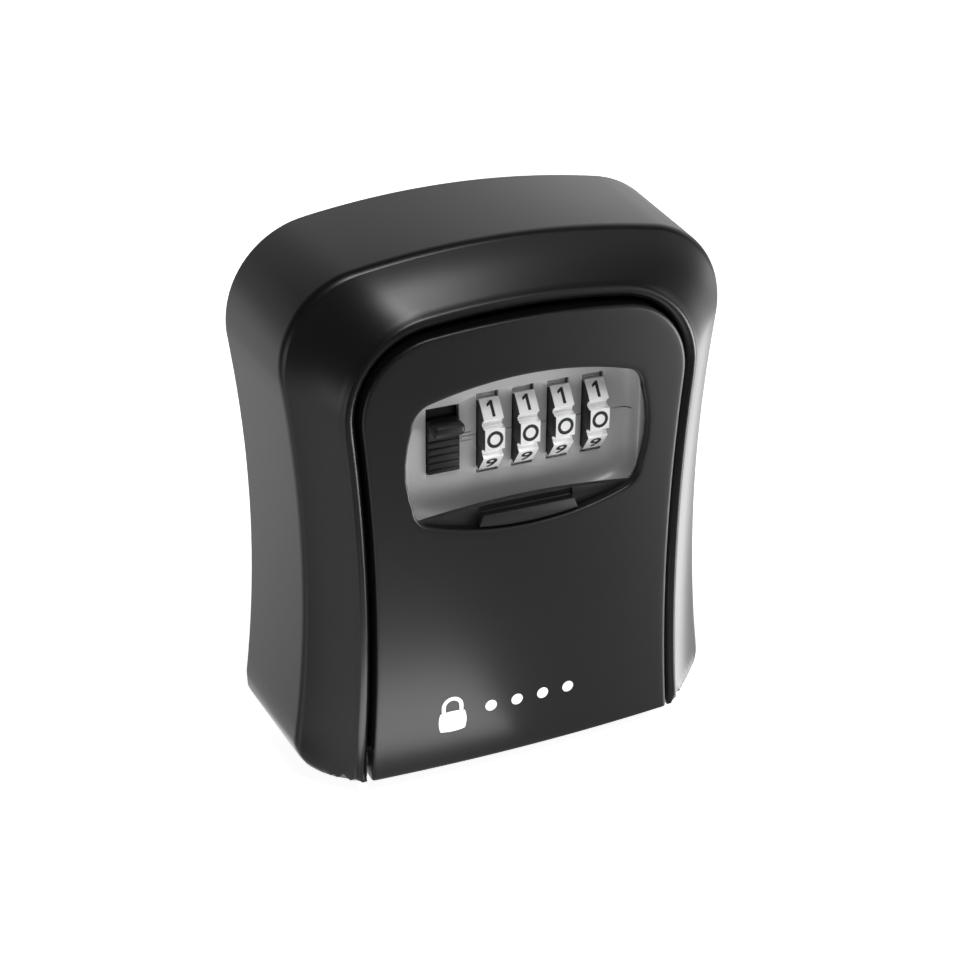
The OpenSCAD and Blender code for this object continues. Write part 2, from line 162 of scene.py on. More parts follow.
def panel(around_angle, height_angle, spread, level, below):
    """Adds a soft panel to the tent. Angle 0 is in front, and positive angles are to the right."""
    turn, rise = math.radians(around_angle), math.radians(height_angle)
    dot = tent.nodes.new("ShaderNodeVectorMath")
    dot.operation = "DOT_PRODUCT"
    tent.links.new(tent_facing, dot.inputs[0])
    dot.inputs[1].default_value = (
        math.sin(turn) * math.cos(rise), -math.cos(turn) * math.cos(rise), math.sin(rise))
    fade = tent.nodes.new("ShaderNodeMapRange")
    fade.interpolation_type = "SMOOTHSTEP"
    fade.inputs["From Min"].default_value = math.cos(math.radians(spread))
    fade.inputs["To Max"].default_value = level
    tent.links.new(dot.outputs["Value"], fade.inputs["Value"])
    total = tent.nodes.new("ShaderNodeMath")
    tent.links.new(fade.outputs["Result"], total.inputs[0])
    if isinstance(below, float):
        total.inputs[1].default_value = below
    else:
        tent.links.new(below, total.inputs[1])
    return total.outputs["Value"]


# Each panel is (angle round the box, angle above the horizon, spread in degrees, level). Most of
# the levels began as a fit by another script and were rounded by hand, as report.md says.
overhead = ((8, 61, 15, 11.0), (35, 30, 34, 0.4), (-170, 30, 34, 0.35), (156, 30, 34, 0.3))
left_side = ((-66, -4, 15, 1.3), (-70, -27, 34, 0.7), (-145, -27, 34, 0.6), (-135, 0, 30, 0.45))
right_side = ((63, -17, 16, 16.0), (45, 0, 30, 0.6), (95, -27, 34, 1.4), (118, -32, 19, 2.6),
              (135, 0, 30, 0.7), (130, 30, 34, 0.7), (97, 15, 20, 0.5), (165, -27, 34, 0.3))
table_glow = ((0, -60, 36, 1.2), (180, -60, 36, 1.7), (-120, -60, 36, 0.9))
glow = 0.04
for row in overhead + left_side + right_side + table_glow:
    glow = panel(*row, glow)
tent.links.new(glow, tent.nodes["Background"].inputs["Strength"])

card_size, card_level = Vector((0.06, 0.03)), 3.6
card_data = bpy.data.lights.new("white_card", "AREA")
card_data.shape = "RECTANGLE"
card_data.size, card_data.size_y = card_size
card_data.energy = card_level * math.pi * card_size.x * card_size.y
card = bpy.data.objects.new("white_card", card_data)
bpy.context.collection.objects.link(card)
card.location = (-0.03, -0.062, cad_box[0].z + 0.0005)
card.rotation_euler = (math.pi, 0, 0)
card.visible_camera = False


# ---- Case --------------------------------------------------------------------------------------
# The case is one zinc die casting with an hourglass outline. A broad hollow bevel leads from the
# crease of its walls to a rounded bead round the door. It is powder coated in satin black.

mm = 0.001
foot = cad_box[0].z

# An outline is [height, top radius, corner radius, waist half width, waist height, side radius,
# foot corner radius, height of the foot], in mm above the case's foot.
case_height = (cad_box[1].z - cad_box[0].z) / mm
back_outline = np.array([case_height, 187.5, 20.8, 47.1, 50.2, 282, 8, 0])
crease_outline = back_outline + [-2.1, -2.1, -2.1, -2.1, 0, 2.1, -1, 0]
door_low, door_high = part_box("door_shell")
door_foot = (door_low.z - foot) / mm
door_outline = np.array([(door_high.z - foot) / mm, 164, 16.2, 33.1, 40.7, 424, 1, door_foot])
crease_depth = 28.4
rim_depth = -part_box("body_shell")[0].y / mm
wall = 3.0
turn_centre = (0, 62)


def grown(outline, by, corner=None, low=None):
    """The outline moved outwards by that much, with another foot corner or foot height if given."""
    o = outline + np.array([by, by, by, by, 0, -by, 0, 0])
    if corner is not None:
        o[6] = corner
    if low is not None:
        o[7] = low
    return o


def arc(centre, radius, start, end, steps):
    angles = np.linspace(start, end, steps + 1)
    return [(centre[0] + radius * math.cos(a), centre[1] + radius * math.sin(a)) for a in angles]


def heading(a, b):
    return math.atan2(b[1] - a[1], b[0] - a[0])


def outline_points(o, steps=24):
    """Closed outline of arcs that run into each other, clockwise from the middle of the top."""
    height, top_r, corner_r, waist, waist_z, side_r, foot_r, low = o
    top = (0, height - top_r)
    side = (waist + side_r, waist_z)
    reach_top, reach_side = top_r - corner_r, side_r + corner_r
    span = math.dist(top, side)
    along = (reach_top ** 2 - reach_side ** 2 + span ** 2) / (2 * span)
    lift = math.sqrt(reach_top ** 2 - along ** 2)
    ux, uz = (side[0] - top[0]) / span, (side[1] - top[1]) / span
    corner = (top[0] + along * ux - lift * uz, top[1] + along * uz + lift * ux)
    foot_z = low + foot_r
    foot_x = side[0] - math.sqrt((side_r + foot_r) ** 2 - (foot_z - waist_z) ** 2)
    foot_c = (foot_x, foot_z)
    a_top = heading(top, corner)
    a_side = heading(corner, side)
    a_foot = heading(foot_c, side)
    right = arc(top, top_r, math.pi / 2, a_top, steps)
    right += arc(corner, corner_r, a_top, a_side, steps)[1:]
    right += arc(side, side_r, a_side + math.pi, a_foot + math.pi, steps)[1:]
    right += arc(foot_c, foot_r, a_foot, -math.pi / 2, steps // 2)[1:]
    right += [(x, low) for x in np.linspace(foot_x, 0, steps)][1:]
    return np.array(right + [(-x, z) for x, z in right[-2:0:-1]])


def around(points):
    """Angle and distance of each point of an outline about the turning centre, by angle."""
    dx, dz = points[:, 0] - turn_centre[0], points[:, 1] - turn_centre[1]
    angle, reach = np.arctan2(dz, dx), np.hypot(dx, dz)
    order = np.argsort(angle)
    return angle[order], reach[order]


def at_angles(points, angles):
    """The outline's points that lie at these angles about the turning centre."""
    reach = np.interp(angles, *around(points), period=2 * math.pi)
    return np.stack([turn_centre[0] + reach * np.cos(angles),
                     turn_centre[1] + reach * np.sin(angles)], axis=1)


def rounded(rows, corners, steps=6):
    """A profile's rows with the corners rounded: corners is {row number: radius in mm}."""
    made = []
    for k, row in enumerate(rows):
        if k not in corners:
            made.append(row)
            continue
        ends = []
        for other in (rows[k - 1], rows[k + 1]):
            leg = math.hypot(other[0] - row[0], other[-1] - row[-1])
            ends.append(row + (other - row) * corners[k] / leg)
        for t in np.linspace(0, 1, steps + 1):
            made.append(ends[0] * (1 - t) ** 2 + row * 2 * t * (1 - t) + ends[1] * t ** 2)
    return made


def select_only(obj):
    bpy.ops.object.select_all(action="DESELECT")
    obj.select_set(True)
    bpy.context.view_layer.objects.active = obj


def loft(name, loops, closed=False):
    """A skin through loops of (x, y, z) in mm, with z above the case's foot."""
    rows = [list(loop) + [loop[0]] for loop in loops]
    if closed:
        rows.append(rows[0])
    bpy.ops.mesh.primitive_grid_add(
        x_subdivisions=len(rows[0]) - 1, y_subdivisions=len(rows) - 1, size=1)
    made = bpy.context.object
    made.name = name
    places = [point for row in rows for point in row]
    for vertex, (x, y, z) in zip(made.data.vertices, places, strict=True):
        vertex.co = (x * mm, y * mm, foot + z * mm)
    bpy.ops.object.mode_set(mode="EDIT")
    bpy.ops.mesh.select_all(action="SELECT")
    bpy.ops.mesh.remove_doubles(threshold=1e-7)
    if not closed:
        bpy.ops.mesh.fill_holes(sides=0)
    bpy.ops.mesh.select_all(action="SELECT")
    bpy.ops.mesh.normals_make_consistent(inside=False)
    bpy.ops.object.mode_set(mode="OBJECT")
    return made


def combine(obj, tool, operation):
    """Cuts the tool out of the object, or joins it on, and removes the tool."""
    select_only(obj)
    step = obj.modifiers.new("combine", "BOOLEAN")
    step.operation = operation
    step.solver = "MANIFOLD"
    step.object = tool
    bpy.ops.object.modifier_apply(modifier=step.name)
    bpy.data.objects.remove(tool)


def block(low, high, edge=0.0):
    """A box between two corners in mm above the case's foot, with its edges rounded."""
    size = [(b - a) * mm for a, b in zip(low, high)]
    centre = [(a + b) / 2 * mm for a, b in zip(low, high)]
    bpy.ops.mesh.primitive_cube_add(size=1, location=(centre[0], centre[1], foot + centre[2]))
    made = bpy.context.object
    made.scale = size
    bpy.ops.object.transform_apply(location=True, rotation=True, scale=True)
    if edge:
        bpy.ops.object.mode_set(mode="EDIT")
        bpy.ops.mesh.select_all(action="SELECT")
        bpy.ops.mesh.bevel(offset=edge * mm, segments=3, affect="EDGES")
        bpy.ops.object.mode_set(mode="OBJECT")
    return made


def rod(radius, start, end, sides=48):
    """A round bar between two points in mm above the case's foot."""
    a = Vector((start[0] * mm, start[1] * mm, foot + start[2] * mm))
    b = Vector((end[0] * mm, end[1] * mm, foot + end[2] * mm))
    bpy.ops.mesh.primitive_cylinder_add(
        vertices=sides, radius=radius * mm, depth=(b - a).length, location=(a + b) / 2,
        rotation=(b - a).to_track_quat("Z", "Y").to_euler())
    bpy.ops.object.transform_apply(location=True, rotation=True, scale=True)
    return bpy.context.object


def coat(obj, material):
    """Gives the whole object this one material."""
    obj.data.materials.clear()
    obj.data.materials.append(material)
    obj.data.polygons.foreach_set("material_index", [0] * len(obj.data.polygons))


def satin_black(name, tone, gloss, grain, orange_peel):
    """Powder coat or moulded plastic: near black, with a fine grain and a faint orange peel."""
    material, tree, shader, add = new_material(name)
    place = add("TexCoord").outputs["Object"]
    fine = add("TexNoise", Vector=place, Scale=grain, Detail=4.0, Roughness=0.6)
    broad = add("TexNoise", Vector=place, Scale=350.0, Detail=2.0)
    cloudy = add("TexNoise", Vector=place, Scale=40.0, Detail=3.0)
    shade = add("MapRange", Value=cloudy.outputs["Fac"], To_Min=tone * 0.85, To_Max=tone * 1.15)
    tree.links.new(shade.outputs["Result"], shader.inputs["Base Color"])
    sheen = add("MapRange", Value=fine.outputs["Fac"], To_Min=gloss - 0.04, To_Max=gloss + 0.04)
    tree.links.new(sheen.outputs["Result"], shader.inputs["Roughness"])
    peel = add("Bump", Height=broad.outputs["Fac"], Strength=orange_peel, Distance=0.00003)
    grit = add("Bump", Height=fine.outputs["Fac"], Normal=peel.outputs["Normal"],
               Strength=0.25, Distance=0.00001)
    tree.links.new(grit.outputs["Normal"], shader.inputs["Normal"])
    return material


case_angles = np.sort(around(outline_points(crease_outline, 20))[0])
case_angles = case_angles[np.append(np.diff(case_angles) > 1e-6, True)]
bead_root = 3.6
bead_depth = rim_depth - 0.85
bevel_hollow = 0.6
rim_root = grown(door_outline, bead_root, 0.8, 0)


def case_row(outline, depth):
    return np.append(outline, -depth)


def bevel_row(t):
    """A row of the hollow bevel, from the crease at 0 to the bead's root at 1."""
    depth = crease_depth + (bead_depth - crease_depth) * t - bevel_hollow * math.sin(math.pi * t)
    outline = crease_outline * (1 - t) + rim_root * t
    outline[6] = rim_root[6] + (crease_outline[6] - rim_root[6]) * (1 - t) ** 2.5
    return case_row(outline, depth)


def case_loops(rows):
    loops = []
    for row in rows:
        points = at_angles(outline_points(row[:-1], 60), case_angles)
        loops.append(np.insert(points, 1, row[-1], axis=1))
    return loops


bevel_rows = [bevel_row(t) for t in np.linspace(0, 1, 13)]
bead_inner = 0.75
bead_back = 30.5
bead_rows = [case_row(grown(door_outline, growth, 0.8, 0), rim_depth - fall) for growth, fall in (
    (3.35, 0.4), (3.0, 0.12), (2.6, 0), (2.15, 0), (1.7, 0.15), (1.25, 0.5), (0.9, 1.0),
    (bead_inner, 1.6), (bead_inner, rim_depth - bead_back))]
case_rows = [case_row(grown(back_outline, -3, 5, 3), 0), case_row(back_outline, 0)]
case_rows += bevel_rows + bead_rows
case_body = loft("case_body", case_loops(rounded(case_rows, {1: 0.9, 2: 1.5})))

cavity = grown(back_outline, -5, 4, wall)
neck = grown(door_outline, 5.4, 4, wall)
neck_start, neck_end = 26, 31
combine(case_body, loft("cavity", case_loops([
    case_row(cavity, wall), case_row(cavity, neck_start),
    case_row(neck, neck_start), case_row(neck, neck_end)])), "DIFFERENCE")
floor_slot_half, floor_slot_top = 36.5, 3.7
combine(case_body, block((-floor_slot_half, -31.6, -1), (floor_slot_half, -27.5, floor_slot_top)),
        "DIFFERENCE")
door_way = grown(door_outline, bead_inner - 0.02, 0.4, -5)
way_start, way_end = 30.8, 38
combine(case_body, loft("door_way", case_loops([
    case_row(door_way, way_start), case_row(door_way, way_end)])), "DIFFERENCE")

hinge_y, hinge_z = -32.5, 4.5
sill_reach, washer_seat = (35.4, 36.9), 3.45
boss_reach, pin_bore = (36.6, 40.3), 1.52
for side in (-1, 1):
    sill = sorted(side * x for x in sill_reach)
    combine(case_body, block((sill[0], -36.0, 0.5), (sill[1], -27.3, 3.9), 0.1), "UNION")
    combine(case_body, rod(washer_seat, (side * 35, hinge_y, hinge_z),
                           (side * 36.4, hinge_y, hinge_z)), "DIFFERENCE")
    boss = sorted(side * x for x in boss_reach)
    combine(case_body, block((boss[0], -33.9, 1.8), (boss[1], -28, 8), 0.3), "UNION")
    combine(case_body, rod(pin_bore, (side * 35, hinge_y, hinge_z),
                           (side * 39.9, hinge_y, hinge_z)), "DIFFERENCE")
keeper_half, keeper_foot = 10, 98.3
combine(case_body, block((-keeper_half, -17.5, keeper_foot), (keeper_half, -15, case_height - 3.5),
                         0.3), "UNION")
screw_x, screw_heights, screw_hole = 22, (27, 83), 2.5
for x in (-screw_x, screw_x):
    for z in screw_heights:
        combine(case_body, rod(screw_hole, (x, -4, z), (x, 1, z)), "DIFFERENCE")

select_only(case_body)
bpy.ops.object.shade_smooth_by_angle(angle=math.radians(28))
case_paint = satin_black("case_powder_coat", 0.005, 0.3, 2600.0, 0.2)
coat(case_body, case_paint)
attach(case_body, "case")
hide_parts("body_shell")


# ---- Door --------------------------------------------------------------------------------------
# The door is a die-cast shell with a gently rounded front, a lipped window for the code wheels and
# two hinge knuckles at its foot. Posts cast inside it carry the lock. It is coated like the case.

door_front = -door_low.y / mm
door_front_radius = 413
skin_back = 37.2
door_edge_back = 30.5
door_wall = 1.8
window_width, window_top, window_foot = 50.2, 87.9, 54.8
window_top_radius, window_foot_radius, window_corner = 76, 70, 5


def window_points(grow=0.0, steps=12):
    """Closed outline of the window, with arcs for its top, foot and corners, grown by that much."""
    x = window_width / 2 - window_corner
    top = (0, window_top - window_top_radius)
    low = (0, window_foot + window_foot_radius)
    top_k = (x, top[1] + math.sqrt((window_top_radius - window_corner) ** 2 - x * x))
    low_k = (x, low[1] - math.sqrt((window_foot_radius - window_corner) ** 2 - x * x))
    a_top, a_low = heading(top, top_k), heading(low, low_k)
    right = arc(top, window_top_radius + grow, math.pi / 2, a_top, steps)
    right += arc(top_k, window_corner + grow, a_top, 0, steps)[1:]
    right += arc(low_k, window_corner + grow, 0, a_low, steps)
    right += arc(low, window_foot_radius + grow, a_low, -math.pi / 2, steps)[1:]
    return np.array(right + [(-x, z) for x, z in right[-2:0:-1]])


def front_at(x):
    """Depth of the door's rounded front at x."""
    return -door_front + door_front_radius - math.sqrt(door_front_radius ** 2 - x * x)


both = np.sort(np.concatenate([around(outline_points(door_outline, 16))[0],
                               around(window_points())[0]]))
door_angles = both[np.append(np.diff(both) > 0.002, True)]


def door_loops(rows):
    """Loops of the door from rows of [way out from the window, growth of the window, share of the
    window, growth of the door's outline, share of the front's curve, depth]."""
    loops = []
    for way_out, window_growth, share, growth, curve, depth in rows:
        outline = grown(door_outline, growth, 0.5, door_foot - growth)
        outer = at_angles(outline_points(outline, 60), door_angles)
        inner = at_angles(window_points(window_growth, 60), door_angles)
        points = outer * (1 - share) + inner * share
        loops.append([(x, depth + curve * (front_at(x) + door_front), z) for x, z in points])
    return loops


def door_row(way_out, window_growth, share, growth, curve, depth):
    return np.array([way_out, window_growth, share, growth, curve, -depth], float)


door_rows = [
    door_row(0, 0, 1, 0, 0, skin_back),
    door_row(0, 0, 1, 0, 1, door_front),
    door_row(2, 2, 1, 0, 1, door_front)]
door_rows += [door_row(12 - 10 * s, 2, s, -2, 1, door_front) for s in (0.8, 0.6, 0.4, 0.2)]
door_rows += [
    door_row(12, 2, 0, -2, 1, door_front),
    door_row(14, 2, 0, 0, 1, door_front),
    door_row(14, 2, 0, 0, 0, door_edge_back),
    door_row(14 - door_wall, 2, 0, -door_wall, 0, door_edge_back),
    door_row(14 - door_wall, 2, 0, -door_wall, 0, skin_back)]
door_body = loft("door_body", door_loops(rounded(door_rows, {1: 0.8, 8: 0.85, 9: 0.35})),
                 closed=True)

knuckle_radius, pin_radius = 3.6, 1.5
guide_x, rail_x = 28.9, 27.25
post_x, post_heights = 29.2, (61, 86)
guide_heights, guide_bore, post_bore = (27, 48), 1.05, 1.25
knuckle_reach = (24, 34.4)
screws = [(guide_x, z, guide_bore) for z in guide_heights]
screws += [(post_x, z, post_bore) for z in post_heights]
for side in (-1, 1):
    combine(door_body, rod(knuckle_radius, (side * knuckle_reach[0], hinge_y, hinge_z),
                           (side * knuckle_reach[1], hinge_y, hinge_z)), "UNION")
    low_x, high_x = sorted(side * x for x in knuckle_reach)
    combine(door_body, block((low_x, -skin_back - 0.5, hinge_z - knuckle_radius),
                             (high_x, hinge_y, hinge_z + knuckle_radius)), "UNION")
    low_x, high_x = sorted((side * rail_x, side * (rail_x + 1)))
    combine(door_body, block((low_x, -skin_back - 0.1, 21.5), (high_x, -35.5, 56)), "UNION")
    for z in guide_heights:
        combine(door_body, rod(1.6, (side * guide_x, -skin_back - 0.1, z),
                               (side * guide_x, -35.5, z)), "UNION")
    for z in post_heights:
        combine(door_body, rod(2.2, (side * post_x, -skin_back - 0.1, z),
                               (side * post_x, -34.6, z)), "UNION")
    combine(door_body, rod(pin_radius + 0.05, (side * 25.5, hinge_y, hinge_z),
                           (side * 36, hinge_y, hinge_z)), "DIFFERENCE")
    for x, z, radius in screws:
        combine(door_body, rod(radius, (side * x, -skin_back + 0.05, z), (side * x, -30, z)),
                "DIFFERENCE")

select_only(door_body)
bpy.ops.object.shade_smooth_by_angle(angle=math.radians(28))
door_paint = satin_black("door_powder_coat", 0.005, 0.36, 2600.0, 0.15)
coat(door_body, door_paint)
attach(door_body, "door")
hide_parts("door_shell")


# ---- Print on the door ---------------------------------------------------------------------------
# A plain padlock and four dots, as the sign of a code lock, are pad printed in white low on the
# door's front.

sign_proud = 0.01


def flat_patch(name, columns, rows, shape):
    """A thin patch on the door's front. shape turns (0 to 1, 0 to 1) into (x, z) in mm."""
    bpy.ops.mesh.primitive_grid_add(x_subdivisions=columns, y_subdivisions=rows, size=1)
    made = bpy.context.object
    made.name = name
    for vertex in made.data.vertices:
        x, z = shape(vertex.co.x + 0.5, vertex.co.y + 0.5)
        vertex.co = (x * mm, (front_at(x) - sign_proud) * mm, foot + z * mm)
    select_only(made)
    bpy.ops.object.mode_set(mode="EDIT")
    bpy.ops.mesh.select_all(action="SELECT")
    bpy.ops.mesh.remove_doubles(threshold=1e-7)
    bpy.ops.mesh.normals_make_consistent(inside=False)
    bpy.ops.mesh.extrude_region_move(TRANSFORM_OT_translate={"value": (0, 3 * sign_proud * mm, 0)})
    bpy.ops.mesh.select_all(action="SELECT")
    bpy.ops.mesh.normals_make_consistent(inside=False)
    bpy.ops.object.mode_set(mode="OBJECT")
    return made


def squircle(u, v):
    """Maps a square of -1 to 1 on one with rounded corners."""
    return u * (1 - 0.12 * v * v), v * (1 - 0.12 * u * u)


lock_x = -17.2


def lock_part(u, v):
    a, b = squircle(2 * u - 1, 2 * v - 1)
    return lock_x + 3.1 * a, 11.4 + 2.5 * b


def shackle_part(u, v):
    turn = math.pi * (1.25 * u - 0.125)
    reach = 1.55 + 0.85 * v
    straight = max(0.0, abs(2 * u - 1) - 0.8) * 6
    turn = min(max(turn, 0.0), math.pi)
    return lock_x + reach * math.cos(turn), 15.0 - straight + reach * math.sin(turn)


dot_radius, dot_z = 1.3, 13.2


def dot_part(x0):
    def shape(u, v):
        a, b = 2 * u - 1, 2 * v - 1
        return (x0 + dot_radius * a * math.sqrt(1 - b * b / 2),
                dot_z + dot_radius * b * math.sqrt(1 - a * a / 2))
    return shape


sign = flat_patch("door_sign", 9, 7, lock_part)
parts = [flat_patch("shackle", 40, 2, shackle_part)]
parts += [flat_patch("dot", 10, 10, dot_part(x0)) for x0 in (-8.5, -2.5, 3.5, 9.5)]
select_only(sign)
for part in parts:
    part.select_set(True)
bpy.ops.object.join()
sign_paint, tree, shader, add = new_material("white_pad_print")
sign_place = add("TexCoord").outputs["Object"]
sign_grain = add("TexNoise", Vector=sign_place, Scale=1800.0, Detail=3.0)
sign_tone = add("MapRange", Value=sign_grain.outputs["Fac"], To_Min=0.78, To_Max=0.88)
tree.links.new(sign_tone.outputs["Result"], shader.inputs["Base Color"])
shader.inputs["Roughness"].default_value = 0.5
coat(sign, sign_paint)
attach(sign, "door")


# ---- Shutter -------------------------------------------------------------------------------------
# A moulded slide behind the door's skin covers the code wheels in rain. It is drawn all the way
# down here, so only its curved top edge, thumb ledge and scoop show in the window.

shutter_low, shutter_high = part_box("shutter")
shutter_half = shutter_high.x / mm
shutter_top = (shutter_high.z - foot) / mm
shutter_foot = (shutter_low.z - foot) / mm
shutter_front, shutter_back, ledge_front = 37.0, 35.75, -shutter_low.y / mm
top_radius = 180


def prism(name, outline, front, rear):
    """A flat plate with this outline in mm, between two depths from the wall."""
    return loft(name, [[(x, -front, z) for x, z in outline], [(x, -rear, z) for x, z in outline]])


def soften_edges(obj, width, segments=3, angle=35):
    """Rounds the object's sharp edges with a bevel and smooths its faces."""
    select_only(obj)
    bevel = obj.modifiers.new("soft_edges", "BEVEL")
    bevel.width = width * mm
    bevel.segments = segments
    bevel.limit_method = "ANGLE"
    bevel.angle_limit = math.radians(angle)
    bevel.miter_outer = "MITER_ARC"
    bpy.ops.object.modifier_apply(modifier=bevel.name)
    bpy.ops.object.shade_smooth_by_angle(angle=math.radians(30))


shutter_edge = [(x, shutter_top - top_radius + math.sqrt(top_radius ** 2 - x * x))
                for x in np.linspace(-shutter_half, shutter_half, 41)]
shutter_body = prism("shutter_slide", [(-shutter_half, shutter_foot)] + shutter_edge
                     + [(shutter_half, shutter_foot)], shutter_front, shutter_back)
ledge_half, ledge_low, ledge_high = 11, window_foot + 0.3, 58.2
ledge_curve = [(x, ledge_low + window_foot_radius - math.sqrt(window_foot_radius ** 2 - x * x))
               for x in np.linspace(ledge_half, -ledge_half, 21)]
ledge = prism("ledge", ledge_curve + [
    (-ledge_half + 0.9, ledge_high), (ledge_half - 0.9, ledge_high)], ledge_front, shutter_front - 0.3)
scoop = block((-10.5, -shutter_front - 1, 57.9), (10.5, -shutter_front + 0.75, 59.8), 0.35)
combine(shutter_body, scoop, "DIFFERENCE")
combine(shutter_body, ledge, "UNION")
soften_edges(shutter_body, 0.22)
shutter_plastic = satin_black("shutter_plastic", 0.012, 0.42, 3200.0, 0.1)
coat(shutter_body, shutter_plastic)
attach(shutter_body, "shutter")
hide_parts("shutter")


# ---- Dial plate ----------------------------------------------------------------------------------
# A satin grey tray behind the window. Its floor curves up into its walls, the code wheels and the
# black slider stand in slots cut in it, and a fine index line is engraved across it.

plate_low, plate_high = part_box("dial_plate")
tray_front = -plate_low.y / mm
plate_back = -plate_high.y / mm
plate_front = 31.2
wheel_first, wheel_pitch, wheel_z = -6.1, 7.8, 73
slot_width, slot_height = 4.8, 17.6
slider_x, slider_slot_width, slider_slot = -15.8, 7.2, (65.9, 80.3)
wheel_places = [wheel_first + k * wheel_pitch for k in range(4)]

tray_rows = [np.array(row, float) for row in (
    (-5, -plate_front), (0.9, -plate_front), (0.9, -tray_front), (3.6, -tray_front),
    (3.6, 0.9 - tray_front), (2.2, 0.9 - tray_front), (2.2, -plate_back), (-5, -plate_back))]
tray_loops = []
for growth, depth in rounded(tray_rows, {1: 3.2, 2: 0.4, 6: 1.0}, steps=8):
    tray_loops.append([(x, depth, z) for x, z in window_points(growth, 14)])
tray = loft("dial_tray", tray_loops)
for side in (-1, 1):
    for z in post_heights:
        combine(tray, rod(2.3, (side * post_x, -36, z), (side * post_x, -34, z)), "DIFFERENCE")
for x in wheel_places:
    half = slot_width / 2
    combine(tray, block((x - half, -36, wheel_z - slot_height / 2),
                        (x + half, -29, wheel_z + slot_height / 2)), "DIFFERENCE")
    combine(tray, block((x - half, -plate_front + 0.4, wheel_z - slot_height / 2 - 1),
                        (x + half, -29, wheel_z + slot_height / 2 + 1)), "DIFFERENCE")
combine(tray, block((slider_x - slider_slot_width / 2, -36, slider_slot[0]),
                    (slider_x + slider_slot_width / 2, -29, slider_slot[1])), "DIFFERENCE")
soften_edges(tray, 0.1, 2, 50)
line, mark_left, mark_right, mark_foot = 0.13, -11.9, -9.6, 71.9
for low, high in (
        ((-11.6, wheel_z - line), (25.9, wheel_z + line)),
        ((mark_left, mark_foot), (mark_left + 2 * line, wheel_z + 0.9)),
        ((mark_left, mark_foot), (mark_right, mark_foot + 2 * line)),
        ((mark_left, wheel_z + 0.9 - 2 * line), (mark_right, wheel_z + 0.9))):
    combine(tray, block((low[0], -35.2, low[1]), (high[0], -plate_front + 0.18, high[1])),
            "DIFFERENCE")
select_only(tray)
bpy.ops.object.shade_smooth_by_angle(angle=math.radians(30))

tray_paint, tree, shader, add = new_material("satin_grey_plate")
tray_place = add("TexCoord").outputs["Object"]
tray_fine = add("TexNoise", Vector=tray_place, Scale=2400.0, Detail=4.0)
tray_cloud = add("TexNoise", Vector=tray_place, Scale=90.0, Detail=2.0)
tray_tone = add("MapRange", Value=tray_cloud.outputs["Fac"], To_Min=0.38, To_Max=0.44)
tree.links.new(tray_tone.outputs["Result"], shader.inputs["Base Color"])
tray_gloss = add("MapRange", Value=tray_fine.outputs["Fac"], To_Min=0.34, To_Max=0.44)
tree.links.new(tray_gloss.outputs["Result"], shader.inputs["Roughness"])
tray_bump = add("Bump", Height=tray_fine.outputs["Fac"], Strength=0.2, Distance=0.00001)
tree.links.new(tray_bump.outputs["Normal"], shader.inputs["Normal"])
shader.inputs["Metallic"].default_value = 0.1
coat(tray, tray_paint)
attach(tray, "door")
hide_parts("dial_plate")


# ---- Code wheels ---------------------------------------------------------------------------------
# Four plated wheels, each with ten flat digit faces, a grooved grip rib between each two, and the
# digits filled with black paint. The code 0000 stands on the index line.

wheel_low, wheel_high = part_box("dial_1")
wheel_width = (wheel_high.x - wheel_low.x) / mm
axle_y = (wheel_low.y + wheel_high.y) / 2 / mm
tile_reach = (wheel_high.y - wheel_low.y) / 2 / mm
tile_half = 2.3
rib_reach = 9.5
bore = 4.05
digits = 10


def polar(reach, degrees):
    return (reach * math.cos(math.radians(degrees)), reach * math.sin(math.radians(degrees)))


def wheel_outline():
    """Points of the wheel's edge as (outward, upward), from the face of the digit 0 upwards."""
    step_angle = math.degrees(math.asin(tile_half / rib_reach))
    points = []
    for k in range(digits):
        turn = math.radians(36 * k)
        local = [(tile_reach, -tile_half), (tile_reach, 0), (tile_reach, tile_half)]
        local += [polar(rib_reach, step_angle), polar(rib_reach, 15.6)]
        local += [polar(rib_reach - 0.45, 16.2), polar(rib_reach - 0.45, 19.8)]
        local += [polar(rib_reach, 20.4), polar(rib_reach, 36 - step_angle)]
        for a, b in local:
            points.append((a * math.cos(turn) - b * math.sin(turn),
                           a * math.sin(turn) + b * math.cos(turn)))
    return points


rim_points = wheel_outline()
bore_points = [(bore * a / math.hypot(a, b), bore * b / math.hypot(a, b)) for a, b in rim_points]
x_left, x_right = wheel_first - wheel_width / 2, wheel_first + wheel_width / 2
wheel = loft("wheel_1_face", [
    [(x, axle_y - a, wheel_z + b) for a, b in points]
    for x, points in ((x_left, bore_points), (x_left, rim_points), (x_right, rim_points),
                      (x_right, bore_points))], closed=True)
for sign_z in (-1, 1):
    z_near, z_far = sorted((wheel_z + sign_z * 3.5, wheel_z + sign_z * 4.95))
    combine(wheel, block((x_left - 1, axle_y - 0.55, z_near), (x_right + 1, axle_y + 0.55, z_far)),
            "DIFFERENCE")
soften_edges(wheel, 0.12, 2, 25)

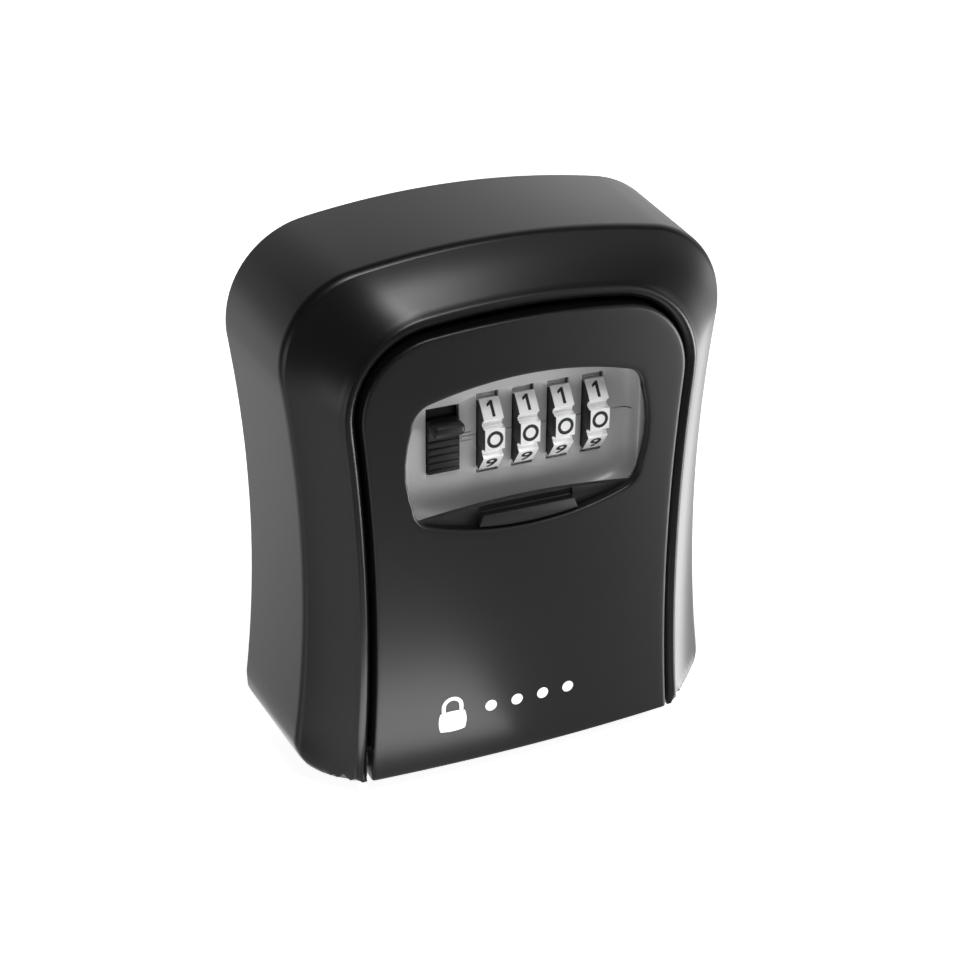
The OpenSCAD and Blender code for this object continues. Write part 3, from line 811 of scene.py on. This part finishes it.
nickel, tree, shader, add = new_material("satin_nickel")
nickel_place = add("TexCoord").outputs["Object"]
nickel_fine = add("TexNoise", Vector=nickel_place, Scale=3000.0, Detail=4.0)
nickel_cloud = add("TexNoise", Vector=nickel_place, Scale=400.0, Detail=2.0)
nickel_tone = add("MapRange", Value=nickel_cloud.outputs["Fac"], To_Min=0.92, To_Max=0.98)
tree.links.new(nickel_tone.outputs["Result"], shader.inputs["Base Color"])
nickel_gloss = add("MapRange", Value=nickel_fine.outputs["Fac"], To_Min=0.26, To_Max=0.36)
tree.links.new(nickel_gloss.outputs["Result"], shader.inputs["Roughness"])
nickel_bump = add("Bump", Height=nickel_fine.outputs["Fac"], Strength=0.15, Distance=0.00001)
tree.links.new(nickel_bump.outputs["Normal"], shader.inputs["Normal"])
shader.inputs["Metallic"].default_value = 0.45
coat(wheel, nickel)

# The wheels' side faces and the faces round their bores get a near black colour. This is painted shade
# for the shade in the slots, while the digit faces stay plated.
flank, tree, shader, add = new_material("wheel_flank_painted_shade")
flank_place = add("TexCoord").outputs["Object"]
flank_rings = add("TexNoise", Vector=flank_place, Scale=1200.0, Detail=3.0)
flank_shade_tone = add("MapRange", Value=flank_rings.outputs["Fac"], To_Min=0.02, To_Max=0.03)
tree.links.new(flank_shade_tone.outputs["Result"], shader.inputs["Base Color"])
flank_gloss = add("MapRange", Value=flank_rings.outputs["Fac"], To_Min=0.35, To_Max=0.45)
tree.links.new(flank_gloss.outputs["Result"], shader.inputs["Roughness"])
wheel.data.materials.append(flank)
# Faces turned sideways, and faces close to the bore, take the painted shade.
for face in wheel.data.polygons:
    off_axle = math.hypot(face.center.y / mm - axle_y, (face.center.z - foot) / mm - wheel_z)
    face.material_index = int(abs(face.normal.x) > 0.9 or off_axle < bore + 1.2)

ink, tree, shader, add = new_material("black_digit_paint")
ink_place = add("TexCoord").outputs["Object"]
ink_grain = add("TexNoise", Vector=ink_place, Scale=4000.0, Detail=3.0)
ink_tone = add("MapRange", Value=ink_grain.outputs["Fac"], To_Min=0.006, To_Max=0.014)
tree.links.new(ink_tone.outputs["Result"], shader.inputs["Base Color"])
shader.inputs["Roughness"].default_value = 0.45

digit_height, ink_proud = 3.4, 0.02
ink_front, ink_back = tile_reach + ink_proud - axle_y, tile_reach - 2 * ink_proud - axle_y
axle = Matrix.Translation((0, axle_y * mm, foot + wheel_z * mm))


def ring_digit():
    """The round 0, as a flat ring on the wheel's front face."""
    turns = np.linspace(0, 2 * math.pi, 48, endpoint=False)
    return loft("digit", [
        [(wheel_first + half_x * math.cos(t), -depth, wheel_z + half_z * math.sin(t)) for t in turns]
        for half_x, half_z, depth in ((1.78, 1.84, ink_front), (1.78, 1.84, ink_back),
                                      (1.1, 1.14, ink_back), (1.1, 1.14, ink_front))], closed=True)


def flag_digit():
    """The 1, with a flag and no foot."""
    outline = ((0.5, -1.7), (0.5, 1.7), (0.0, 1.7), (-0.85, 1.05), (-0.85, 0.45),
               (-0.15, 0.9), (-0.15, -1.7))
    return prism("digit", [(wheel_first + x, wheel_z + z) for x, z in outline], ink_front, ink_back)


def set_digit(number):
    """Any other digit, set in a plain face and drawn bolder."""
    bpy.ops.object.select_all(action="DESELECT")
    bpy.ops.object.text_add()
    text = bpy.context.object
    text.data.body = str(number)
    text.data.offset = 0.022
    text.data.extrude = 0.01
    bpy.ops.object.convert(target="MESH")
    text = bpy.context.object
    corners = np.array([v.co[:] for v in text.data.vertices])
    low, high = corners.min(0), corners.max(0)
    fit = digit_height / (high[1] - low[1]) * mm
    text.data.transform(Matrix.Translation(-Vector((low + high) / 2)))
    text.data.transform(Matrix.Diagonal((fit * 1.15, fit, 1.5 * ink_proud * mm / 0.01, 1)))
    bpy.ops.object.mode_set(mode="EDIT")
    bpy.ops.mesh.select_all(action="SELECT")
    bpy.ops.mesh.remove_doubles(threshold=1e-7)
    bpy.ops.mesh.normals_make_consistent(inside=False)
    bpy.ops.object.mode_set(mode="OBJECT")
    middle = (wheel_first * mm, -(ink_front + ink_back) / 2 * mm, foot + wheel_z * mm)
    text.data.transform(Matrix.Translation(middle) @ Matrix.Rotation(math.pi / 2, 4, "X"))
    return text


digit_faces = []
for k in range(digits):
    made = ring_digit() if k == 0 else flag_digit() if k == 1 else set_digit(k)
    made.data.transform(axle @ Matrix.Rotation(math.radians(-36 * k), 4, "X") @ axle.inverted())
    coat(made, ink)
    digit_faces.append(made)
select_only(wheel)
for face in digit_faces:
    face.select_set(True)
bpy.ops.object.join()

for k in range(4):
    if k == 0:
        copy = wheel
    else:
        copy = wheel.copy()
        copy.data = wheel.data.copy()
        copy.name = f"wheel_{k + 1}_face"
        bpy.context.collection.objects.link(copy)
        copy.data.transform(Matrix.Translation((k * wheel_pitch * mm, 0, 0)))
for k in range(4):
    piece = bpy.data.objects[f"wheel_{k + 1}_face"]
    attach(piece, f"wheel_{k + 1}")
    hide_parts(f"dial_{k + 1}")


# ---- Black slider --------------------------------------------------------------------------------
# A moulded thumb slider, riveted to the latch. It has a rounded lip to pull down on and ribs below
# it for grip.

slider_half, slider_lip = 3.4, (75.2, 77.8)
base_back = plate_back - 1.38
slider = block((slider_x - 4.4, -plate_back + 0.12, 63.2), (slider_x + 4.4, -base_back, 83.4))
combine(slider, block((slider_x - slider_half, -plate_front - 0.9, 66.2),
                      (slider_x + slider_half, -plate_back + 0.2, slider_lip[1]), 0.2), "UNION")
combine(slider, block((slider_x - slider_half, -tray_front + 0.2, slider_lip[0]),
                      (slider_x + slider_half, -plate_front, slider_lip[1]), 0.95), "UNION")
for k in range(5):
    rib_z = 67 + k * 1.55
    combine(slider, block((slider_x - slider_half - 1, -plate_front - 2, rib_z),
                          (slider_x + slider_half + 1, -plate_front - 0.65, rib_z + 0.55)),
            "DIFFERENCE")
rivet_bore = 1.05
combine(slider, rod(rivet_bore, (slider_x, -plate_back + 0.4, wheel_z),
                    (slider_x, -base_back + 1, wheel_z)), "DIFFERENCE")
slider.name = "thumb_slider"
soften_edges(slider, 0.12, 2, 40)
slider_plastic = satin_black("slider_plastic", 0.003, 0.5, 3600.0, 0.1)
coat(slider, slider_plastic)
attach(slider, "latch")
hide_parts("open_slider")


# ---- Lock works ----------------------------------------------------------------------------------
# The pieces behind the dial plate are plain turned, pressed and moulded parts, and keep their
# machined shape. Each has the finish of its own stock.

def bare_metal(name, tone, gloss, stretch, metallic=1.0):
    """Turned or pressed metal: a fine grain drawn out along one direction, and a faint tarnish."""
    material, tree, shader, add = new_material(name)
    place = add("TexCoord").outputs["Object"]
    drawn = add("Mapping", Vector=place, Scale=stretch)
    lines = add("TexNoise", Vector=drawn.outputs["Vector"], Scale=1500.0, Detail=4.0)
    cloud = add("TexNoise", Vector=place, Scale=120.0, Detail=3.0)
    mix = tree.nodes.new("ShaderNodeMix")
    mix.data_type = "RGBA"
    mix.inputs["A"].default_value = (*[c * 0.85 for c in tone], 1)
    mix.inputs["B"].default_value = (*tone, 1)
    tree.links.new(cloud.outputs["Fac"], mix.inputs["Factor"])
    tree.links.new(mix.outputs["Result"], shader.inputs["Base Color"])
    rough = add("MapRange", Value=lines.outputs["Fac"], To_Min=gloss - 0.06, To_Max=gloss + 0.08)
    tree.links.new(rough.outputs["Result"], shader.inputs["Roughness"])
    bump = add("Bump", Height=lines.outputs["Fac"], Strength=0.2, Distance=0.00001)
    tree.links.new(bump.outputs["Normal"], shader.inputs["Normal"])
    shader.inputs["Metallic"].default_value = metallic
    return material


turned_steel = bare_metal("turned_steel", (0.62, 0.62, 0.63), 0.3, (0.1, 1, 1))
pressed_steel = bare_metal("zinc_plated_steel", (0.6, 0.6, 0.61), 0.36, (1, 1, 0.08))
spring_wire = bare_metal("spring_steel", (0.48, 0.48, 0.49), 0.32, (1, 1, 1))
brass = bare_metal("turned_brass", (0.72, 0.55, 0.25), 0.3, (0.1, 1, 1))
black_plate = satin_black("black_zinc_plate", 0.02, 0.34, 2200.0, 0.15)
housing_plastic = satin_black("housing_plastic", 0.016, 0.5, 3000.0, 0.1)
acetal = satin_black("black_acetal", 0.01, 0.45, 2500.0, 0.1)

works = {
    turned_steel: ("hinge_pin_left", "hinge_pin_right", "shutter_cover_screws", "cover_screws",
                   "dial_axle", "detent_screws", "latch_rivet"),
    pressed_steel: ("latch_plate", "reset_lever", "axle_clip"),
    spring_wire: ("wave_washer", "detent_spring", "latch_spring"),
    brass: ("tumbler_1", "tumbler_2", "tumbler_3", "tumbler_4"),
    black_plate: ("cover_plate", "shutter_cover"),
    housing_plastic: ("mechanism_housing",),
    acetal: ("hinge_washers",)}
for finish, names in works.items():
    for name in names:
        node = frame["nodes"][name]
        node.data.materials.clear()
        node.data.materials.append(finish)
